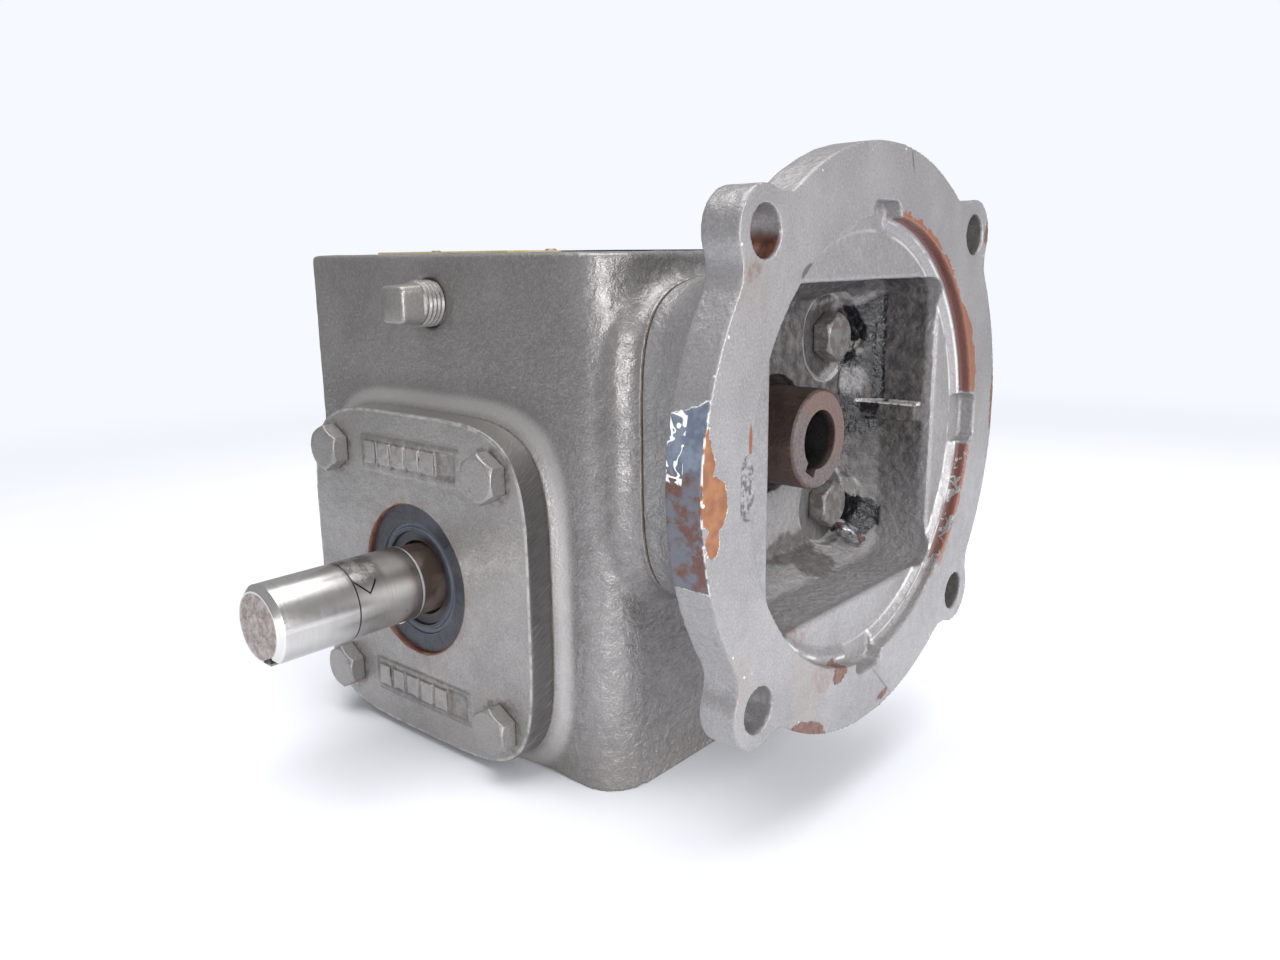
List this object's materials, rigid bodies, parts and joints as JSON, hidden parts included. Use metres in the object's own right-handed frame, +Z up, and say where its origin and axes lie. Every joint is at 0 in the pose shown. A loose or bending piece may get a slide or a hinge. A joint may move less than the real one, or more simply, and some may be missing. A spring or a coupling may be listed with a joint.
{
  "type": "right-angle worm gear speed reducer",
  "caption": "Cast iron right-angle worm gear reducer with a hollow motor quill in a C-face motor flange and a solid keyed output shaft.",
  "frame": {"origin": "centre of the motor flange face, on the worm axis", "axes": "+X out of the motor flange along the worm axis, -Y along the output shaft towards its free end, +Z up, away from the base"},
  "size_m": [0.181, 0.1833, 0.1702],
  "materials": {
    "grey_casting": "grey paint over rough cast iron, worn",
    "gasket": "oily brown gasket paper",
    "painted_steel": "grey paint over steel, worn at the edges",
    "seal_rubber": "slate rubber",
    "rusty_steel": "turned steel with a brown rust film",
    "bright_steel": "ground steel",
    "bearing_steel": "polished bearing steel",
    "cage_brass": "pressed brass",
    "spring_steel": "phosphated spring steel",
    "bronze": "cut bronze",
    "plate_yellow": "printed aluminium plate",
    "plate_blue": "printed film"
  },
  "bodies": {
    "case": {"housing": "grey_casting", "motor_adapter": "grey_casting", "adapter_gasket": "gasket", "adapter_screws": "painted_steel", "input_seal": "seal_rubber", "worm_front_outer_ring": "bearing_steel", "worm_back_outer_ring": "bearing_steel", "bore_retaining_ring": "spring_steel", "worm_end_cap": "grey_casting", "output_front_outer_ring": "bearing_steel", "output_back_outer_ring": "bearing_steel", "output_seal": "seal_rubber", "output_cover": "grey_casting", "cover_gasket": "gasket", "cover_screws": "painted_steel", "level_plug": "painted_steel", "fill_plug": "painted_steel", "drain_plug": "painted_steel", "nameplate": "plate_yellow", "nameplate_pins": "bright_steel", "caution_plate": "plate_blue"},
    "worm_assembly": {"worm_front_inner_ring": "bearing_steel", "worm_back_inner_ring": "bearing_steel", "worm_retaining_ring": "spring_steel", "worm_shaft": "rusty_steel"},
    "output_assembly": {"output_shaft": "bright_steel", "worm_gear": "bronze", "gear_key": "bright_steel", "gear_spacer": "bright_steel", "output_front_inner_ring": "bearing_steel", "output_back_inner_ring": "bearing_steel"},
    "worm_ball_sets": {"worm_front_balls": "bearing_steel", "worm_front_cage": "cage_brass", "worm_back_balls": "bearing_steel", "worm_back_cage": "cage_brass"},
    "output_ball_sets": {"output_front_balls": "bearing_steel", "output_front_cage": "cage_brass", "output_back_balls": "bearing_steel", "output_back_cage": "cage_brass"}
  },
  "joints": [
    {"name": "worm_spin", "type": "hinge", "parent": "case", "child": "worm_assembly", "pos_m": [0, 0, 0], "axis": [1, 0, 0], "continuous": true},
    {"name": "output_spin", "type": "hinge", "parent": "case", "child": "output_assembly", "pos_m": [-0.1174, 0, -0.04445], "axis": [0, -1, 0], "continuous": true},
    {"name": "worm_ball_orbit", "type": "hinge", "parent": "case", "child": "worm_ball_sets", "pos_m": [0, 0, 0], "axis": [1, 0, 0], "continuous": true},
    {"name": "output_ball_orbit", "type": "hinge", "parent": "case", "child": "output_ball_sets", "pos_m": [-0.1174, 0, -0.04445], "axis": [0, -1, 0], "continuous": true}
  ],
  "couplings": [
    {"joint": "output_spin", "follows": "worm_spin", "ratio": 0.05},
    {"joint": "worm_ball_orbit", "follows": "worm_spin", "ratio": 0.4},
    {"joint": "output_ball_orbit", "follows": "worm_spin", "ratio": 0.02}
  ]
}
